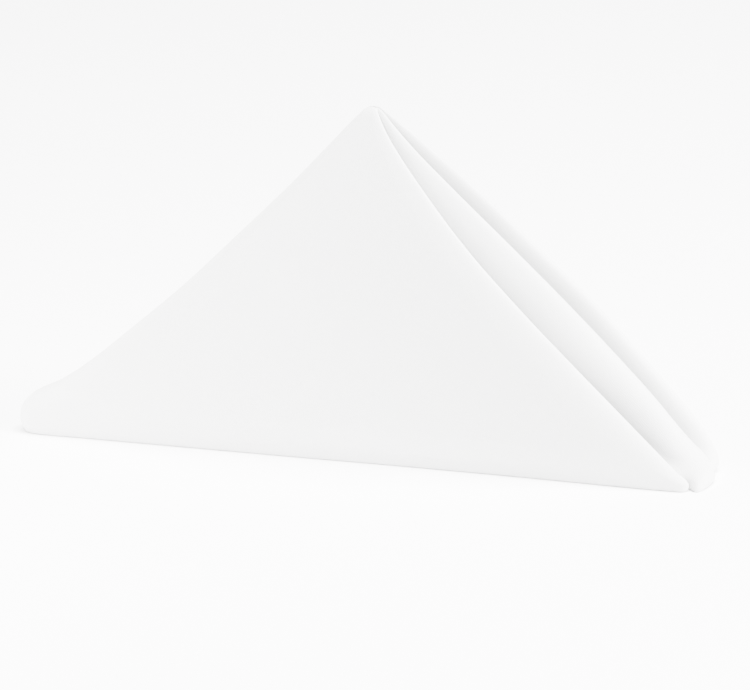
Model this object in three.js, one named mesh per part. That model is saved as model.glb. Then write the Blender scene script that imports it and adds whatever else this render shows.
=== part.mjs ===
// A square cloth napkin folded to a standing pyramid: one back-and-forth
// section of its layers, drawn together towards the apex.
//
// Axes, mm: +X along the base from the nose (-X) to the open foot (+X),
// +Y from the front face to the back face, +Z up from the table to the apex.
import * as THREE from 'three';

// ---- driving sizes, mm ----
const SHEET_SIDE = 508;                                // flat napkin, a 20 inch square
const PANEL_LEG = SHEET_SIDE / (2 * Math.SQRT2);       // side of a folded face, apex to ground
const APEX_HEIGHT = PANEL_LEG * Math.SQRT1_2;          // apex above the table
const CLOTH_BASE = 1.1;                                // doubled cloth, low in the stack
const CLOTH_TIP = 0.7;                                 // pressed flat at the apex
const PRESS_FROM = 0.55;                               // share of the height where pressing starts
const ROLL_SQUARENESS = 2.2;                           // 2 is an ellipse, more is squarer
const NEST = 0.4;                                      // share of a roll's front reach that the turn inside it keeps back
const EASE = 0.10;                                     // share of a layer over which it levels into a turn

// The front face hollows inwards along a slanting line, from one point (x, z) to another
const HOLLOW = { depth: 4.0, width: 44, round: 12, fromX: -43, fromZ: 77, toX: 66, toZ: 0 };

// How far each roll laps forward round the foot of the one before it, and up to what height
const FOOT_LAPS = [0, 9.5, 4.0];
const LAP_HEIGHT = 8;

// How often a layer, a turn and the lapped turn are divided, and how many rows go up
const LAYER_STEPS = 6;
const TURN_STEPS = 8;
const LAPPED_TURN_STEPS = 14;
const HEIGHT_ROWS = 21;

// ---- the section at each height ----
// z        height of the section
// nose     x of the closed fold that runs from the nose up to the apex
// stack    half the thickness of the pressed layers there
// x1 f1 b1 first roll: x of its crest, y of its front and of its back, and r1,
//          how far before the crest its front starts to bend round
// x2 f2 b2 r2 second roll      x3 f3 b3 r3 third roll, the back panel's edge
const SECTION = [
  { z: 0.0,   nose: -129.0, stack: 8.2, x1: 122.2, f1: -17.9, b1: -12.2, r1: 3.5,  x2: 127.6, f2: -11.2, b2: 6.0, r2: 7.5,  x3: 125.0, f3: 7.4,  b3: 17.0, r3: 3.0 },
  { z: 2.5,   nose: -130.2, stack: 9.2, x1: 121.8, f1: -18.7, b1: -12.7, r1: 4.5,  x2: 128.7, f2: -11.5, b2: 6.4, r2: 8.7,  x3: 126.6, f3: 7.6,  b3: 17.8, r3: 3.0 },
  { z: 6.0,   nose: -130.6, stack: 9.5, x1: 117.8, f1: -18.5, b1: -12.4, r1: 6.7,  x2: 125.8, f2: -10.5, b2: 8.0, r2: 10.5, x3: 125.4, f3: 9.4,  b3: 17.8, r3: 5.0 },
  { z: 13.0,  nose: -126.2, stack: 9.2, x1: 110.0, f1: -17.6, b1: -11.5, r1: 9.5,  x2: 118.4, f2: -7.2,  b2: 8.6, r2: 13.0, x3: 121.4, f3: 10.6, b3: 17.2, r3: 7.0 },
  { z: 19.0,  nose: -114.9, stack: 8.7, x1: 103.2, f1: -16.8, b1: -10.6, r1: 10.5, x2: 113.0, f2: -5.8,  b2: 8.0, r2: 14.0, x3: 116.8, f3: 10.4, b3: 16.6, r3: 7.0 },
  { z: 27.0,  nose: -103.6, stack: 8.0, x1: 94.2,  f1: -15.8, b1: -9.5,  r1: 11.5, x2: 106.2, f2: -4.4,  b2: 7.4, r2: 14.5, x3: 110.0, f3: 10.0, b3: 15.8, r3: 6.5 },
  { z: 40.0,  nose: -87.9,  stack: 7.2, x1: 79.8,  f1: -14.2, b1: -8.0,  r1: 11.5, x2: 94.0,  f2: -3.4,  b2: 6.4, r2: 14.5, x3: 98.4,  f3: 9.0,  b3: 14.4, r3: 6.5 },
  { z: 58.0,  nose: -67.4,  stack: 6.5, x1: 60.4,  f1: -12.1, b1: -6.2,  r1: 10.5, x2: 75.8,  f2: -3.0,  b2: 5.2, r2: 13.5, x3: 81.8,  f3: 7.5,  b3: 12.4, r3: 6.0 },
  { z: 78.0,  nose: -47.0,  stack: 6.0, x1: 40.4,  f1: -9.8,  b1: -4.6,  r1: 9.0,  x2: 54.6,  f2: -2.9,  b2: 3.8, r2: 11.0, x3: 60.8,  f3: 5.6,  b3: 10.0, r3: 5.5 },
  { z: 98.0,  nose: -27.0,  stack: 5.5, x1: 23.4,  f1: -7.4,  b1: -3.0,  r1: 6.5,  x2: 32.8,  f2: -1.8,  b2: 2.6, r2: 7.0,  x3: 39.4,  f3: 3.8,  b3: 7.6,  r3: 4.5 },
  { z: 113.0, nose: -13.0,  stack: 4.9, x1: 11.6,  f1: -5.6,  b1: -1.8,  r1: 4.0,  x2: 17.0,  f2: -0.9,  b2: 2.0, r2: 3.6,  x3: 22.0,  f3: 2.7,  b3: 5.9,  r3: 2.0 },
  { z: 121.0, nose: -5.5,   stack: 4.2, x1: 6.4,   f1: -4.5,  b1: -1.1,  r1: 2.6,  x2: 9.6,   f2: -0.3,  b2: 1.7, r2: 2.2,  x3: 12.2,  f3: 1.9,  b3: 5.0,  r3: 1.2 },
  { z: APEX_HEIGHT, nose: 0.4, stack: 2.2, x1: 4.2, f1: -2.3, b1: -0.3,  r1: 1.0,  x2: 4.6,   f2: -0.1,  b2: 1.0, r2: 1.0,  x3: 4.8,   f3: 0.7,  b3: 3.0,  r3: 0.8 },
];

// ---- the layers, front to back ----
// roll and place say which roll a layer turns in at the open side and where it
// lies in it, 0 at the roll's front and 1 at its back; top is how far below
// the apex the layer ends, since inner layers are folded lower; give is the
// share of the face's hollow that the layer follows.
const LAYERS = [
  { name: 'front',  roll: 1, place: 0,     top: 0.6, give: 1.0 },
  { name: 'inner1', roll: 1, place: 1 / 3, top: 8.0, give: 1.0 },
  { name: 'inner2', roll: 1, place: 2 / 3, top: 9.5, give: 0.92 },
  { name: 'valley', roll: 1, place: 1,     top: 3.0, give: 0.8 },
  { name: 'bulge',  roll: 2, place: 0,     top: 3.4, give: 0.6 },
  { name: 'inner3', roll: 2, place: 1,     top: 4.6, give: 0.4 },
  { name: 'inner4', roll: 3, place: 0,     top: 4.6, give: 0.2 },
  { name: 'back',   roll: 3, place: 1,     top: 0.6, give: 0.0 },
];

// ---- the way the cloth runs, from one hidden end to the other ----
// Each step runs one layer to the right and turns into the next at the open
// side, then comes back and turns at the closed fold.
const RUN = ['bulge', 'inner3', 'inner2', 'inner1', 'inner4', 'back', 'front', 'valley'];

// ---- helpers ----
const lerp = (a, b, t) => a + (b - a) * t;

// Smooth, non-overshooting value of a section column at height z, with its slope
function column(name, z) {
  const rows = SECTION;
  const last = rows.length - 1;
  let i = 0;
  while (i < last - 1 && z > rows[i + 1].z) i++;
  const slope = (k) => {
    const chord = (j) => (rows[j + 1][name] - rows[j][name]) / (rows[j + 1].z - rows[j].z);
    if (k === 0) return chord(0);
    if (k === last) return chord(last - 1);
    const below = chord(k - 1), above = chord(k);
    return below * above <= 0 ? 0 : (2 * below * above) / (below + above);
  };
  const span = rows[i + 1].z - rows[i].z;
  const t = Math.min(1, Math.max(0, (z - rows[i].z) / span));
  const v0 = rows[i][name], v1 = rows[i + 1][name];
  const m0 = slope(i) * span, m1 = slope(i + 1) * span;
  const value = v0 * (2 * t ** 3 - 3 * t ** 2 + 1) + m0 * (t ** 3 - 2 * t ** 2 + t)
    + v1 * (3 * t ** 2 - 2 * t ** 3) + m1 * (t ** 3 - t ** 2);
  const rate = (v0 * (6 * t * t - 6 * t) + m0 * (3 * t * t - 4 * t + 1)
    + v1 * (6 * t - 6 * t * t) + m1 * (3 * t * t - 2 * t)) / span;
  return { value, rate };
}

const clothAt = (z) => lerp(CLOTH_BASE, CLOTH_TIP,
  Math.min(1, Math.max(0, (z / APEX_HEIGHT - PRESS_FROM) / (1 - PRESS_FROM - 0.08))));

// A turn seen along the fold is round, so a level cut through a sloping fold is
// longer than it is wide by this much
const cutStretch = (rate) => Math.min(2.4, Math.sqrt(1 + rate * rate));

// Crest, middle, half width and reaches of the turns at height z. A turn bends
// back over frontReach on its front side and rearReach on its back side; a
// nested turn lies up to step behind the crest and bends back over near.
function foldsAt(z) {
  const cloth = clothAt(z);
  const nose = column('nose', z);
  const width = column('x1', z).value - nose.value;
  const stack = column('stack', z).value - cloth / 2;
  const reach = Math.min(stack * cutStretch(nose.rate), width * 0.42);
  const closed = { x: nose.value + cloth / 2, y: 0, half: stack, frontReach: reach, rearReach: reach, step: reach, near: reach };
  const rolls = [1, 2, 3].map((n) => {
    const crest = column(`x${n}`, z);
    const front = column(`f${n}`, z).value + cloth / 2;
    const back = column(`b${n}`, z).value - cloth / 2;
    const half = (back - front) / 2;
    const rearReach = Math.min(half * Math.min(cutStretch(crest.rate), 1.5), width * 0.35, 9);
    const frontReach = Math.min(column(`r${n}`, z).value, width * 0.45);
    return { x: crest.value - cloth / 2, y: (front + back) / 2, half, frontReach, rearReach,
      step: rearReach + NEST * frontReach, near: rearReach };
  });
  return { closed, rolls };
}

// 0 to 1, level at both ends and straight between
function eased(t) {
  const rise = Math.min(t, EASE) ** 2 / (2 * EASE);
  const run = Math.min(Math.max(t - EASE, 0), 1 - 2 * EASE);
  const rest = Math.max(t - (1 - EASE), 0);
  return (rise + run + rest - rest ** 2 / (2 * EASE)) / (1 - EASE);
}

// How far the front face gives way inwards at x and z
function hollowAt(x, t, z) {
  const { depth, width, round, fromX, fromZ, toX, toZ } = HOLLOW;
  const length = Math.hypot(toX - fromX, toZ - fromZ);
  const off = ((toZ - fromZ) * (x - fromX) - (toX - fromX) * (z - fromZ)) / length;
  const edge = Math.sin(Math.PI * t) * Math.min(1, Math.max(0.35, z / 12))
    * Math.min(1, Math.max(0, (120 - z) / 50)) ** 1.5;
  return depth * edge * Math.exp(-(Math.hypot(off, round) - round) / width);
}

// A point of a layer, t = 0 at the closed fold and 1 at the open side
function layerPoint(index, t, z) {
  const { closed, rolls } = foldsAt(z);
  const layer = LAYERS[index];
  const roll = rolls[layer.roll - 1];
  const last = LAYERS.length - 1;
  const share = Math.abs(2 * layer.place - 1);
  const reach = share < 0.99 ? roll.near : layer.place < 0.5 ? roll.frontReach : roll.rearReach;
  const xOpen = roll.x - roll.step * (1 - share) - reach * share;
  const free = index === 3 || index === 4;             // the two hidden ends of the cloth
  const xClosed = closed.x + closed.step + (free ? 3 : 0);
  const yClosed = closed.half * (2 * index - last) / last;
  const yOpen = roll.y + roll.half * (2 * layer.place - 1);
  const x = lerp(xClosed, xOpen, t);
  return new THREE.Vector3(x, lerp(yClosed, yOpen, eased(t)) + layer.give * hollowAt(x, t, z), z);
}

// A point of a turn, a = 0 where the lower-numbered layer enters, 1 at the other
function turnPoint(fold, halfShare, side, a, z, footLap) {
  const angle = Math.PI * (a - 0.5);
  const power = 2 / ROLL_SQUARENESS;
  const c = Math.cos(angle), s = Math.sin(angle);
  const reach = halfShare < 0.99 ? fold.near : s < 0 ? fold.frontReach : fold.rearReach;
  const low = Math.max(0, 1 - z / LAP_HEIGHT);
  const lap = footLap && s < 0 ? footLap * low ** 1.5 * Math.sin(Math.PI * Math.max(0, 1 + s) ** 0.62) ** 1.5 : 0;
  return new THREE.Vector3(
    fold.x - side * (fold.step * (1 - halfShare) + reach * halfShare * (1 - Math.abs(c) ** power)),
    fold.y + fold.half * halfShare * Math.sign(s) * Math.abs(s) ** power - lap, z);
}

// ---- the columns of the cloth, one after another along the run ----
// Each column knows where it lies at any height and how high it goes.
function clothColumns() {
  const columns = [];
  const indexOf = (name) => LAYERS.findIndex((layer) => layer.name === name);
  RUN.forEach((name, step) => {
    const index = indexOf(name);
    const outward = step % 2 === 0;                    // towards the open side
    for (let k = 0; k <= LAYER_STEPS; k++) {
      const share = outward ? k / LAYER_STEPS : 1 - k / LAYER_STEPS;
      columns.push({ top: APEX_HEIGHT - LAYERS[index].top, at: (z) => layerPoint(index, share, z) });
    }
    if (step === RUN.length - 1) return;
    const next = indexOf(RUN[step + 1]);
    const low = Math.min(index, next);
    const steps = outward && FOOT_LAPS[LAYERS[index].roll - 1] > 5 ? LAPPED_TURN_STEPS : TURN_STEPS;
    for (let k = 1; k < steps; k++) {
      const along = k / steps;
      const a = index === low ? along : 1 - along;
      const top = APEX_HEIGHT - lerp(LAYERS[index].top, LAYERS[next].top, along);
      if (outward) {
        const roll = LAYERS[index].roll - 1;
        const halfShare = Math.abs(2 * LAYERS[index].place - 1);
        const footLap = halfShare > 0.99 ? FOOT_LAPS[roll] : 0;
        columns.push({ top, at: (z) => turnPoint(foldsAt(z).rolls[roll], halfShare, 1, a, z, footLap) });
      } else {
        const halfShare = Math.abs(2 * index - (LAYERS.length - 1)) / (LAYERS.length - 1);
        columns.push({ top, at: (z) => turnPoint(foldsAt(z).closed, halfShare, -1, a, z, 0) });
      }
    }
  });
  return columns;
}

// Rows are closer together at the foot and at the tip, where the shape turns
const rowShares = Array.from({ length: HEIGHT_ROWS }, (_, k) => {
  const t = k / (HEIGHT_ROWS - 1);
  return 0.45 * t + 0.55 * (0.62 * t * t * (3 - 2 * t) + 0.38 * t * t);
});

function napkinGeometry() {
  const columns = clothColumns();
  const rows = rowShares.length, count = columns.length;
  const middle = rowShares.map((share) => columns.map((c) => c.at(share * c.top)));
  const positions = [];
  const normal = new THREE.Vector3(), along = new THREE.Vector3(), up = new THREE.Vector3();
  for (let r = 0; r < rows; r++) {
    for (let c = 0; c < count; c++) {
      const p = middle[r][c];
      along.subVectors(middle[r][Math.min(c + 1, count - 1)], middle[r][Math.max(c - 1, 0)]);
      up.subVectors(middle[Math.min(r + 1, rows - 1)][c], middle[Math.max(r - 1, 0)][c]);
      normal.crossVectors(along, up);
      if (r === 0) normal.z = 0;                       // the bottom edge lies flat on the table
      normal.normalize();
      const half = clothAt(p.z) / 2;
      for (const side of [1, -1]) {
        positions.push(p.x + normal.x * half * side, p.y + normal.y * half * side,
          r === 0 ? 0 : p.z + normal.z * half * side);
      }
    }
  }
  const id = (r, c, side) => (r * count + c) * 2 + side;
  const faces = [];
  const quad = (a, b, c, d) => faces.push(a, b, c, a, c, d);
  for (let r = 0; r < rows - 1; r++) {
    for (let c = 0; c < count - 1; c++) {
      quad(id(r, c, 0), id(r, c + 1, 0), id(r + 1, c + 1, 0), id(r + 1, c, 0));
      quad(id(r, c, 1), id(r + 1, c, 1), id(r + 1, c + 1, 1), id(r, c + 1, 1));
    }
  }
  for (let c = 0; c < count - 1; c++) {
    quad(id(0, c, 0), id(0, c, 1), id(0, c + 1, 1), id(0, c + 1, 0));
    quad(id(rows - 1, c, 0), id(rows - 1, c + 1, 0), id(rows - 1, c + 1, 1), id(rows - 1, c, 1));
  }
  for (let r = 0; r < rows - 1; r++) {
    quad(id(r, 0, 0), id(r + 1, 0, 0), id(r + 1, 0, 1), id(r, 0, 1));
    quad(id(r, count - 1, 0), id(r, count - 1, 1), id(r + 1, count - 1, 1), id(r + 1, count - 1, 0));
  }
  const geometry = new THREE.BufferGeometry();
  geometry.setAttribute('position', new THREE.Float32BufferAttribute(positions, 3));
  geometry.setIndex(faces);
  geometry.computeBoundingBox();
  const box = geometry.boundingBox;                    // bottom centre of the box to the origin
  geometry.translate(-(box.min.x + box.max.x) / 2, -(box.min.y + box.max.y) / 2, -box.min.z);
  geometry.computeVertexNormals();
  return geometry;
}

const whiteCloth = new THREE.MeshStandardMaterial({ color: 0xf2f2f0, roughness: 0.85, metalness: 0 });
const napkin = new THREE.Mesh(napkinGeometry(), whiteCloth);
napkin.name = 'napkin';

const group = new THREE.Group();
group.name = 'folded_napkin';
group.add(napkin);
export default group;
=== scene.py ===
"""A white cloth napkin folded to a standing pyramid, on a plain pale table.

The sheet is drawn as one piece: folded once, so that it has two plies joined
along the bottom edge, then laid back and forth in eight layers drawn together
towards the apex. Lengths in the tables are millimetres in the row frame
before its origin is moved; everything in the scene is metres.
"""
import math
import bpy
import numpy as np
from mathutils import Matrix, Vector


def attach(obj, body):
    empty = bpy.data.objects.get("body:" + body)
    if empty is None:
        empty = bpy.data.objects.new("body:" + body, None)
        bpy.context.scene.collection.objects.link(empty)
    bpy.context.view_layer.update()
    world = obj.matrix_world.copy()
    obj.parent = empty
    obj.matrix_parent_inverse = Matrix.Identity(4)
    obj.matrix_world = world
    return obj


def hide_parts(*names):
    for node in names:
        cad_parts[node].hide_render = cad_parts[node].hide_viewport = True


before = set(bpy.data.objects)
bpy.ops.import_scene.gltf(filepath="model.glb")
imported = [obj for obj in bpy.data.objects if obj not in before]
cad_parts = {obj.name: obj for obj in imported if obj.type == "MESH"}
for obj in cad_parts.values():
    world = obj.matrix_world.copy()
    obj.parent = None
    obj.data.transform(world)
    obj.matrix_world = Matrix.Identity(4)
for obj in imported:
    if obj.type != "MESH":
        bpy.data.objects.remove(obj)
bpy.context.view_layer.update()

# ---- camera: at the photo's angle, a long lens from over the right shoulder ----
AZIMUTH, ELEVATION = 16.5, 14.38
camera_data = bpy.data.cameras.new("camera")
camera_data.lens = 337.8
camera_data.sensor_width = 36.0
camera_data.clip_end = 20.0
camera = bpy.data.objects.new("camera", camera_data)
bpy.context.scene.collection.objects.link(camera)
a, e = math.radians(AZIMUTH), math.radians(ELEVATION)
back = Vector((math.sin(a) * math.cos(e), -math.cos(a) * math.cos(e), math.sin(e)))
right = Vector((math.cos(a), math.sin(a), 0.0))
up = back.cross(right)
camera.matrix_world = Matrix((
    (right.x, up.x, back.x, 0.69305),
    (right.y, up.y, back.y, -2.32518),
    (right.z, up.z, back.z, 0.66238),
    (0.0, 0.0, 0.0, 1.0)))
bpy.context.scene.camera = camera

# ---- sizes of the fold, mm ----
SHEET_SIDE = 508.0
APEX = SHEET_SIDE / 4.0
ORIGIN_X, ORIGIN_Y = -0.95, -0.44         # box centre of the folds below
CLOTH_BASE, CLOTH_TIP, PRESS_FROM = 1.2, 0.5, 0.50
TIP_ROUND = 5.0                          # the last stretch below the apex, where it rounds off
PLY = 0.40                               # share of a doubled layer that one ply takes
DENT, DENT_WIDTH, DENT_ROUND = 5.4, 45.0, 13.0    # the front face hollows along a slanting line
DENT_FROM, DENT_TO = (-43.0, 77.0), (66.0, 0.0)   # x and z of the line's ends
# slack in the face: height of each slow wave, its length along x and z, where it starts
SLACK = ((0.22, 97.0, 61.0, 0.1), (0.16, -58.0, 83.0, 0.4), (0.10, 34.0, 47.0, 0.7))
SQUARENESS = 2.2                         # of the turns: 2 is an ellipse, more is squarer
FOOT_LIP, LIP_HEIGHT = (0.0, 8.4, 3.6), 7.5   # how far each roll laps forward round the foot before it
CREASE_SQUARENESS = 2.8                  # the closed fold is pressed sharper above the nose
NOSE_HEIGHT = 22.0
NEST = 0.4                               # share of a roll's front reach that the turn inside it keeps back
EASE = 0.10                              # share of a layer over which it levels into a turn

# z        height of the section
# nose     x of the closed fold that runs from the nose up to the apex
# stack    half the thickness of the pressed layers there
# x1 f1 b1 first roll: x of its crest, y of its front and of its back, and r1,
#          how far before the crest its front starts to bend round
# x2 f2 b2 r2 second roll      x3 f3 b3 r3 third roll, the back panel's edge
COLUMN_NAMES = ("z", "nose", "stack", "x1", "f1", "b1", "r1", "x2", "f2", "b2", "r2", "x3", "f3", "b3", "r3")
SECTION = np.array([
    (0.0, -129.0, 8.2, 122.2, -17.9, -12.6, 3.0, 127.9, -11.5, 6.0, 7.5, 125.2, 7.2, 17.0, 3.0),
    (1.6, -129.9, 8.9, 122.8, -18.6, -13.2, 3.6, 128.8, -11.9, 6.2, 8.5, 126.4, 7.0, 17.6, 3.0),
    (3.2, -130.4, 9.4, 121.8, -18.7, -13.1, 4.6, 128.1, -10.8, 6.6, 9.0, 126.6, 7.4, 17.9, 3.0),
    (5.0, -130.6, 9.5, 119.0, -18.6, -12.5, 6.0, 126.8, -8.0, 7.6, 9.5, 126.0, 8.8, 17.9, 4.5),
    (8.0, -130.2, 9.5, 115.6, -18.2, -12.1, 8.0, 123.8, -5.9, 8.8, 9.0, 124.4, 10.2, 17.6, 6.5),
    (13.0, -126.2, 9.2, 110.0, -17.6, -11.5, 9.5, 118.4, -5.2, 8.6, 10.5, 121.4, 10.6, 17.2, 7.5),
    (19.0, -114.9, 8.7, 103.2, -16.8, -10.6, 10.5, 113.0, -5.5, 8.0, 13.5, 116.8, 10.4, 16.6, 7.0),
    (27.0, -103.6, 8.0, 94.2, -15.8, -9.5, 11.5, 106.2, -5.9, 7.4, 14.5, 110.0, 10.0, 15.8, 6.5),
    (40.0, -87.9, 7.4, 79.8, -14.2, -8.5, 11.5, 94.0, -6.4, 6.4, 17.0, 98.4, 9.0, 14.4, 6.5),
    (58.0, -67.4, 7.3, 60.2, -12.0, -6.9, 10.5, 75.8, -5.4, 5.0, 17.0, 81.8, 7.4, 12.2, 6.0),
    (78.0, -47.0, 6.4, 40.0, -9.4, -5.0, 9.0, 54.6, -4.3, 3.6, 14.5, 60.8, 5.4, 9.8, 5.5),
    (98.0, -27.0, 4.9, 22.8, -6.6, -3.2, 6.5, 32.8, -2.9, 2.2, 9.5, 39.4, 3.4, 7.2, 4.5),
    (113.0, -13.0, 3.7, 11.4, -4.5, -1.9, 4.0, 17.0, -1.7, 1.3, 3.6, 21.8, 2.0, 4.8, 3.4),
    (121.0, -5.6, 3.0, 6.6, -3.4, -1.2, 2.6, 9.6, -1.05, 1.0, 2.2, 12.0, 1.5, 3.6, 2.4),
    (125.0, -1.6, 2.4, 4.8, -2.6, -0.8, 1.6, 6.2, -0.6, 0.7, 1.5, 7.0, 1.0, 2.6, 1.4),
    (126.4, 0.0, 1.6, 4.0, -1.8, -0.55, 1.2, 4.8, -0.45, 0.5, 1.1, 5.2, 0.7, 1.8, 1.0),
    (APEX, 1.2, 0.35, 3.0, -0.4, -0.1, 0.6, 3.1, -0.07, 0.12, 0.6, 3.2, 0.16, 0.4, 0.5),
])

# layer, front to back: roll at the open side, place in that roll (0 front, 1
# back), how far below the apex it ends, steps along it
LAYER_COLUMNS = ("name", "roll", "place", "top", "steps")
LAYERS = [
    ("front", 1, 0.0, 0.0, 100),
    ("inner1", 1, 1 / 3, 8.0, 22),
    ("inner2", 1, 2 / 3, 9.5, 22),
    ("valley", 1, 1.0, 0.4, 44),
    ("bulge", 2, 0.0, 0.4, 44),
    ("inner3", 2, 1.0, 0.6, 26),
    ("inner4", 3, 0.0, 0.6, 26),
    ("back", 3, 1.0, 0.0, 62),
]
RUN = ("bulge", "inner3", "inner2", "inner1", "inner4", "back", "front", "valley")
OUTER_TURN, INNER_TURN = 18, 8
OUTER_ROWS, FOLD_ROWS, HIDDEN_ROWS = 80, 5, 14


def table_spline(name):
    """Value and slope of a column at any height, without overshoot."""
    z, v = SECTION[:, 0], SECTION[:, COLUMN_NAMES.index(name)]
    chord = np.diff(v) / np.diff(z)
    m = np.zeros_like(v)
    m[0], m[-1] = chord[0], chord[-1]
    same = chord[:-1] * chord[1:] > 0
    m[1:-1][same] = 2 * chord[:-1][same] * chord[1:][same] / (chord[:-1] + chord[1:])[same]

    def at(h):
        h = np.clip(h, z[0], z[-1])
        i = np.clip(np.searchsorted(z, h, side="right") - 1, 0, len(z) - 2)
        d = z[i + 1] - z[i]
        t = (h - z[i]) / d
        value = (v[i] * (2 * t**3 - 3 * t**2 + 1) + m[i] * d * (t**3 - 2 * t**2 + t)
                 + v[i + 1] * (3 * t**2 - 2 * t**3) + m[i + 1] * d * (t**3 - t**2))
        rate = (v[i] * (6 * t * t - 6 * t) + m[i] * d * (3 * t * t - 4 * t + 1)
                + v[i + 1] * (6 * t - 6 * t * t) + m[i + 1] * d * (3 * t * t - 2 * t)) / d
        return value, rate
    return at


SPLINES = {name: table_spline(name) for name in COLUMN_NAMES[1:]}


def cloth_at(z):
    share = np.clip((z / APEX - PRESS_FROM) / (1 - PRESS_FROM - 0.08), 0, 1)
    tip = np.clip((APEX - z) / TIP_ROUND, 0.02, 1)
    return (CLOTH_BASE + (CLOTH_TIP - CLOTH_BASE) * share) * np.sqrt(tip)


def stretch(rate):
    return np.minimum(2.4, np.sqrt(1 + rate * rate))


def folds_at(z):
    """Crest x, middle y, half width, front reach, back reach, inner step and inner reach of each turn."""
    cloth = cloth_at(z)
    nose, nose_rate = SPLINES["nose"](z)
    width = SPLINES["x1"](z)[0] - nose
    half = SPLINES["stack"](z)[0] - cloth / 2
    high = np.clip((z - NOSE_HEIGHT) / NOSE_HEIGHT, 0, 1)
    closed_step = np.minimum(half * stretch(nose_rate) * 0.95, width * 0.42)
    reach = closed_step * (1 - 0.5 * high * high * (3 - 2 * high))
    closed = (nose + cloth / 2, 0 * z, half, reach, reach, closed_step, reach)
    rolls = []
    for n in (1, 2, 3):
        crest, rate = SPLINES[f"x{n}"](z)
        front = SPLINES[f"f{n}"](z)[0] + cloth / 2
        rear = SPLINES[f"b{n}"](z)[0] - cloth / 2
        half_n = (rear - front) / 2
        near = rear_reach = np.minimum(np.minimum(half_n * np.minimum(stretch(rate), 1.5), width * 0.35), 9)
        if n == 1:
            rear_reach = rear_reach * (1 - 0.65 * np.clip((z - 86) / 20, 0, 1))
        front_reach = np.minimum(SPLINES[f"r{n}"](z)[0], width * 0.45)
        rolls.append((crest - cloth / 2, (front + rear) / 2, half_n, front_reach, rear_reach,
                      near + NEST * front_reach, near))
    return closed, rolls


def eased(t):
    """0 to 1, level at both ends and straight between."""
    rise = np.clip(t, 0, EASE)**2 / (2 * EASE)
    run = np.clip(t - EASE, 0, 1 - 2 * EASE)
    rest = np.clip(t - (1 - EASE), 0, EASE)
    return (rise + run + rest - rest**2 / (2 * EASE)) / (1 - EASE)


def hollow(index, x, t, z):
    """How far a layer gives way inwards along the slanting line, less for those behind."""
    (x0, z0), (x1, z1) = DENT_FROM, DENT_TO
    length = math.hypot(x1 - x0, z1 - z0)
    off = ((z1 - z0) * (x - x0) - (x1 - x0) * (z - z0)) / length
    share = (1.0, 1.0, 0.94, 0.86, 0.74, 0.45, 0.2, 0.0)[index]
    edge = np.sin(np.pi * np.clip(t, 0, 1)) * np.clip(z / 12.0, 0.35, 1) * np.clip((120.0 - z) / 50.0, 0, 1)**1.5
    bend = DENT * np.exp(-(np.sqrt(off**2 + DENT_ROUND**2) - DENT_ROUND) / DENT_WIDTH)
    for height, length_x, length_z, start in SLACK:
        bend = bend + height * np.sin(2 * np.pi * (x / length_x + z / length_z + start))
    return share * edge * bend


def layer_points(index, t, z):
    closed, rolls = folds_at(z)
    name, which, place = LAYERS[index][:3]
    crest, middle, half, front_reach, rear_reach, step, near = rolls[which - 1]
    share = abs(2 * place - 1)
    reach = near if share < 0.99 else front_reach if place < 0.5 else rear_reach
    x_open = crest - step * (1 - share) - reach * share
    closed_share = abs(2 * index - 7) / 7
    start = (closed[0] + closed[5] * (1 - closed_share) + closed[3] * closed_share
             + (3.0 if index in (3, 4) else 0.0))
    y_closed = closed[2] * (2 * index - 7) / 7
    y_open = middle + half * (2 * place - 1)
    x = start + (x_open - start) * t
    return x, y_closed + (y_open - y_closed) * eased(t) + hollow(index, x, t, z)


def turn_points(fold, share, side, along, z, lip):
    crest, middle, half, front_reach, rear_reach, step, near = fold
    angle = np.pi * (along - 0.5)
    high = np.clip((z - NOSE_HEIGHT) / NOSE_HEIGHT, 0, 1) if side < 0 else 0 * z
    power = 2 / (SQUARENESS + (CREASE_SQUARENESS - SQUARENESS) * high * high * (3 - 2 * high))
    c, s = np.cos(angle), np.sin(angle)
    reach = near if share < 0.99 else np.where(s < 0, front_reach, rear_reach)
    lap = 0.0
    if lip and s < 0:
        low = np.clip(1 - z / LIP_HEIGHT, 0, 1)
        lap = lip * low**1.5 * math.sin(math.pi * (1 + s)**0.66)**1.35
    return (crest - side * (step * (1 - share) + reach * share * (1 - np.abs(c)**power)),
            middle + half * share * np.sign(s) * np.abs(s)**power - lap)


def sheet_columns():
    """One entry per column of the sheet: how low its top is, and how to place it."""
    columns = []
    names = [layer[0] for layer in LAYERS]
    for step, name in enumerate(RUN):
        index = names.index(name)
        steps = LAYERS[index][4]
        outward = step % 2 == 0
        s = np.linspace(0, 1, steps + 1)
        if steps < 60:
            s = 1 - (1 - s)**1.5                     # closer together at the open side
        if not outward:
            s = s[::-1]
        for t in s:
            columns.append(("layer", index, float(t), LAYERS[index][3], 0))
        if step == len(RUN) - 1:
            break
        following = names.index(RUN[step + 1])
        low = min(index, following)
        if outward:
            share = abs(2 * LAYERS[index][2] - 1)
            turn = ("roll", LAYERS[index][1] - 1, share, 1)
        else:
            share = abs(2 * index - 7) / 7
            turn = ("closed", 0, share, -1)
        count = OUTER_TURN if share > 0.99 else INNER_TURN
        if turn[:2] == ("roll", 1):
            count += 30
        for k in range(1, count):
            along = k / count
            top = LAYERS[index][3] + (LAYERS[following][3] - LAYERS[index][3]) * along
            columns.append((turn, low == index, along, top, count))
    return columns


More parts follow.
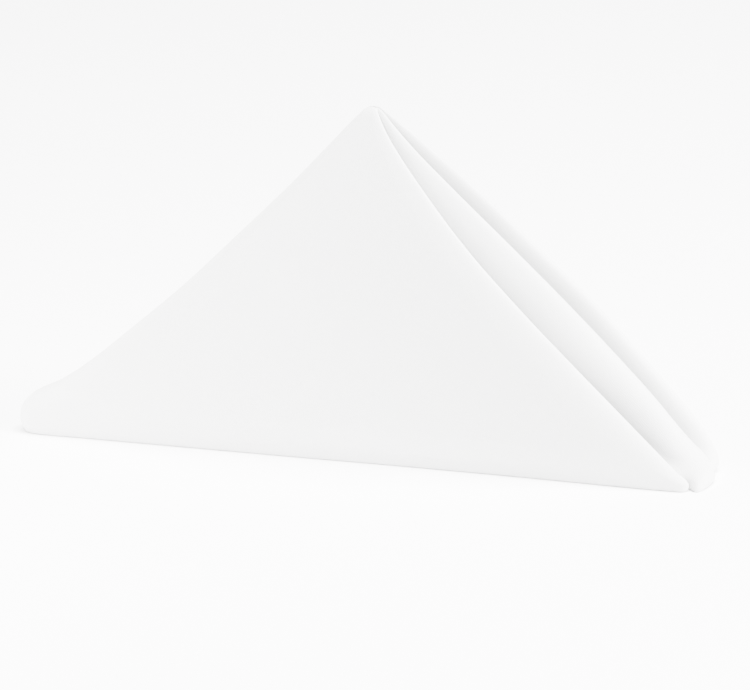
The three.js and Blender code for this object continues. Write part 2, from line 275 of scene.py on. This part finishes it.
def middle_surface(columns, rows):
    """Points of the doubled sheet's middle for each row share and column."""
    tops = np.array([APEX - c[3] for c in columns])
    z = rows[:, None] * tops[None, :]
    x, y = np.zeros_like(z), np.zeros_like(z)
    for j, c in enumerate(columns):
        zj = z[:, j]
        if c[0] == "layer":
            x[:, j], y[:, j] = layer_points(c[1], c[2], zj)
        else:
            kind, which, share, side = c[0]
            closed, rolls = folds_at(zj)
            fold = closed if kind == "closed" else rolls[which]
            along = c[2] if c[1] else 1 - c[2]
            lip = FOOT_LIP[which] * (share > 0.99) if kind == "roll" else 0.0
            x[:, j], y[:, j] = turn_points(fold, share, side, along, zj, lip)
    # take the small kinks out where layers meet turns
    for _ in range(8):
        dx0 = np.hypot(x[:, 1:-1] - x[:, :-2], y[:, 1:-1] - y[:, :-2])
        dx1 = np.hypot(x[:, 2:] - x[:, 1:-1], y[:, 2:] - y[:, 1:-1])
        w = dx0 + dx1 + 1e-9
        mx = (x[:, :-2] * dx1 + x[:, 2:] * dx0) / w
        my = (y[:, :-2] * dx1 + y[:, 2:] * dx0) / w
        x[:, 1:-1] += 0.5 * (mx - x[:, 1:-1])
        y[:, 1:-1] += 0.5 * (my - y[:, 1:-1])
    return np.stack([x, y, z], axis=2)


def grid_normals(p):
    along = np.empty_like(p)
    along[:, 1:-1] = p[:, 2:] - p[:, :-2]
    along[:, 0], along[:, -1] = p[:, 1] - p[:, 0], p[:, -1] - p[:, -2]
    rise = np.empty_like(p)
    rise[1:-1] = p[2:] - p[:-2]
    rise[0], rise[-1] = p[1] - p[0], p[-1] - p[-2]
    n = np.cross(along, rise)
    return n / np.maximum(np.linalg.norm(n, axis=2, keepdims=True), 1e-12)


def build_sheet():
    columns = sheet_columns()
    count = len(columns)
    s = np.linspace(0, 1, OUTER_ROWS)
    outer = 0.5 * s + 0.5 * (0.75 * s * s * (3 - 2 * s) + 0.25 * s * s)
    s = np.linspace(0, 1, HIDDEN_ROWS)
    hidden = 0.5 * s + 0.5 * s * s * (3 - 2 * s)
    lift = 0.35 / APEX                                # the plies meet this far up
    outer = lift + (1 - lift) * outer
    hidden = lift + (1 - lift) * hidden

    def ply(rows, sign):
        mid = middle_surface(columns, rows)
        n = grid_normals(mid) * sign
        return mid + n * cloth_at(mid[:, :, 2:]) * (0.5 - PLY / 2) * 0.92, n
    outer_p, outer_n = (g[::-1] for g in ply(outer, 1.0))    # the ply that shows, top to bottom
    hidden_p, hidden_n = ply(hidden, -1.0)                   # the ply inside, bottom to top
    # the fold along the bottom edge
    a0, b0 = outer_p[-1], hidden_p[0]
    centre, arm = (a0 + b0) / 2, (a0 - b0) / 2
    arm_length = np.linalg.norm(arm, axis=1, keepdims=True)
    fold_p, fold_n = [], []
    for k in range(1, FOLD_ROWS + 1):
        angle = math.pi * k / (FOLD_ROWS + 1)
        direction = arm / arm_length * math.cos(angle) + np.array([0, 0, -1.0]) * math.sin(angle)
        fold_p.append(centre + direction * arm_length)
        fold_n.append(direction)
    p = np.concatenate([outer_p, np.array(fold_p), hidden_p])
    n = np.concatenate([outer_n, np.array(fold_n), hidden_n])
    rows = p.shape[0]
    thick = cloth_at(p[:, :, 2:]) * PLY / 2
    outside, inside = p + n * thick, p - n * thick

    # weave coordinates: along the layers by x, round the turns by length
    step = np.linalg.norm(np.diff(p, axis=1), axis=2)
    u = p[:, :, 0].copy()
    j = 0
    while j < count:
        if columns[j][0] == "layer":
            j += 1
            continue
        first = j
        while columns[j][0] != "layer":
            j += 1
        lengths = np.cumsum(step[:, first - 1:j], axis=1)
        total = lengths[:, -1:]
        side = columns[first][0][3]
        u[:, first:j] = p[:, first - 1:first, 0] + side * np.minimum(lengths[:, :-1], total - lengths[:, :-1])
    v = p[:, :, 2]

    verts = np.concatenate([outside.reshape(-1, 3), inside.reshape(-1, 3)])
    verts[:, 0] -= ORIGIN_X
    verts[:, 1] -= ORIGIN_Y
    verts[:, 2] -= verts[:, 2].min()
    size = rows * count
    r, c = np.meshgrid(np.arange(rows - 1), np.arange(count - 1), indexing="ij")
    i00 = (r * count + c).ravel()
    i01, i10, i11 = i00 + 1, i00 + count, i00 + count + 1
    quads = [np.stack([i00, i10, i11, i01], 1), np.stack([i00, i01, i11, i10], 1) + size]
    edge = lambda i, k: np.stack([i, k, k + size, i + size], 1)
    top = np.arange(count - 1)
    last = (rows - 1) * count + top
    side = np.arange(rows - 1) * count
    quads += [edge(top, top + 1), edge(last + 1, last),
              edge(side + count, side), edge(side + count - 1, side + 2 * count - 1)]
    faces = np.concatenate(quads)
    mesh = bpy.data.meshes.new("napkin_cloth")
    mesh.from_pydata((verts * 0.001).tolist(), [], faces.tolist())
    uv = mesh.uv_layers.new(name="weave")
    both = np.concatenate([np.stack([u.ravel(), v.ravel()], 1)] * 2)
    loops = np.empty(len(mesh.loops), dtype=np.int32)
    mesh.loops.foreach_get("vertex_index", loops)
    uv.data.foreach_set("uv", both[loops].astype(np.float32).ravel())
    mesh.polygons.foreach_set("use_smooth", [True] * len(mesh.polygons))
    mesh.update()
    return mesh


def cloth_material():
    material = bpy.data.materials.new("white_cloth")
    material.use_nodes = True
    nodes, links = material.node_tree.nodes, material.node_tree.links
    nodes.clear()
    output = nodes.new("ShaderNodeOutputMaterial")
    shader = nodes.new("ShaderNodeBsdfPrincipled")
    links.new(shader.outputs["BSDF"], output.inputs["Surface"])
    shader.inputs["Roughness"].default_value = 0.88
    shader.inputs["Specular IOR Level"].default_value = 0.25
    shader.inputs["Sheen Weight"].default_value = 0.12
    shader.inputs["Sheen Roughness"].default_value = 0.6

    def node(kind, **values):
        made = nodes.new(kind)
        for key, value in values.items():
            setattr(made, key, value)
        return made

    def maths(operation, first, second=None):
        made = node("ShaderNodeMath", operation=operation)
        for k, value in enumerate((first, second)):
            if value is None:
                continue
            if isinstance(value, (int, float)):
                made.inputs[k].default_value = value
            else:
                links.new(value, made.inputs[k])
        return made.outputs[0]

    uv = node("ShaderNodeUVMap", uv_map="weave")
    axes = node("ShaderNodeSeparateXYZ")
    links.new(uv.outputs["UV"], axes.inputs[0])
    # uneven threads: the weave coordinates wander a little
    wander = node("ShaderNodeTexNoise")
    wander.inputs["Scale"].default_value = 0.35
    wander.inputs["Detail"].default_value = 2.0
    links.new(uv.outputs["UV"], wander.inputs["Vector"])
    shift = maths("MULTIPLY", wander.outputs["Fac"], 0.9)
    thread = 2 * math.pi / 0.84
    across = maths("SINE", maths("MULTIPLY", maths("ADD", axes.outputs["X"], shift), thread))
    along = maths("SINE", maths("MULTIPLY", maths("ADD", axes.outputs["Y"], shift), thread))
    weave = maths("MULTIPLY", across, along)
    slub = node("ShaderNodeTexNoise")
    slub.inputs["Scale"].default_value = 1.1
    slub.inputs["Detail"].default_value = 3.0
    links.new(uv.outputs["UV"], slub.inputs["Vector"])
    height = maths("ADD", maths("MULTIPLY", weave, 0.5), maths("MULTIPLY", slub.outputs["Fac"], 0.9))
    bump = node("ShaderNodeBump")
    bump.inputs["Strength"].default_value = 0.35
    bump.inputs["Distance"].default_value = 0.00012
    links.new(height, bump.inputs["Height"])
    links.new(bump.outputs["Normal"], shader.inputs["Normal"])
    tint = node("ShaderNodeMapRange")
    tint.inputs["From Min"].default_value = -1.0
    tint.inputs["From Max"].default_value = 1.4
    tint.inputs["To Min"].default_value = 0.0
    tint.inputs["To Max"].default_value = 1.0
    links.new(height, tint.inputs["Value"])
    ramp = node("ShaderNodeValToRGB")
    ramp.color_ramp.elements[0].color = (0.56, 0.56, 0.56, 1)
    ramp.color_ramp.elements[1].color = (0.66, 0.66, 0.655, 1)
    links.new(tint.outputs["Result"], ramp.inputs["Fac"])
    links.new(ramp.outputs["Color"], shader.inputs["Base Color"])
    return material


cloth = bpy.data.objects.new("napkin_cloth", build_sheet())
bpy.context.scene.collection.objects.link(cloth)
cloth.data.materials.append(cloth_material())
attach(cloth, "root")
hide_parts("napkin")

# ---- plain pale table and soft light ----
floor_mesh = bpy.data.meshes.new("floor")
floor_mesh.from_pydata([(-6, -6, 0), (6, -6, 0), (6, 6, 0), (-6, 6, 0)], [], [(0, 1, 2, 3)])
floor = bpy.data.objects.new("floor", floor_mesh)
bpy.context.scene.collection.objects.link(floor)
floor_material = bpy.data.materials.new("pale_table")
floor_material.use_nodes = True
floor_shader = floor_material.node_tree.nodes["Principled BSDF"]
floor_shader.inputs["Base Color"].default_value = (0.97, 0.97, 0.97, 1)
floor_shader.inputs["Roughness"].default_value = 0.9
floor_shader.inputs["Specular IOR Level"].default_value = 0.1
floor.data.materials.append(floor_material)

world = bpy.data.worlds.new("studio")
world.use_nodes = True
world.node_tree.nodes["Background"].inputs["Color"].default_value = (1, 1, 1, 1)
world.node_tree.nodes["Background"].inputs["Strength"].default_value = 0.32
bpy.context.scene.world = world


def softbox(name, position, size, power):
    light = bpy.data.lights.new(name, "AREA")
    light.shape = "SQUARE"
    light.size = size
    light.energy = power
    made = bpy.data.objects.new(name, light)
    made.location = position
    made.rotation_euler = (Vector((0, 0, 0.05)) - Vector(position)).to_track_quat("-Z", "Y").to_euler()
    bpy.context.scene.collection.objects.link(made)


softbox("overhead", (0.3, 0.0, 2.4), 2.0, 600)
softbox("right", (1.7, -0.3, 0.65), 0.8, 270)
softbox("low_left", (-0.40, -0.24, 0.06), 0.25, 15)
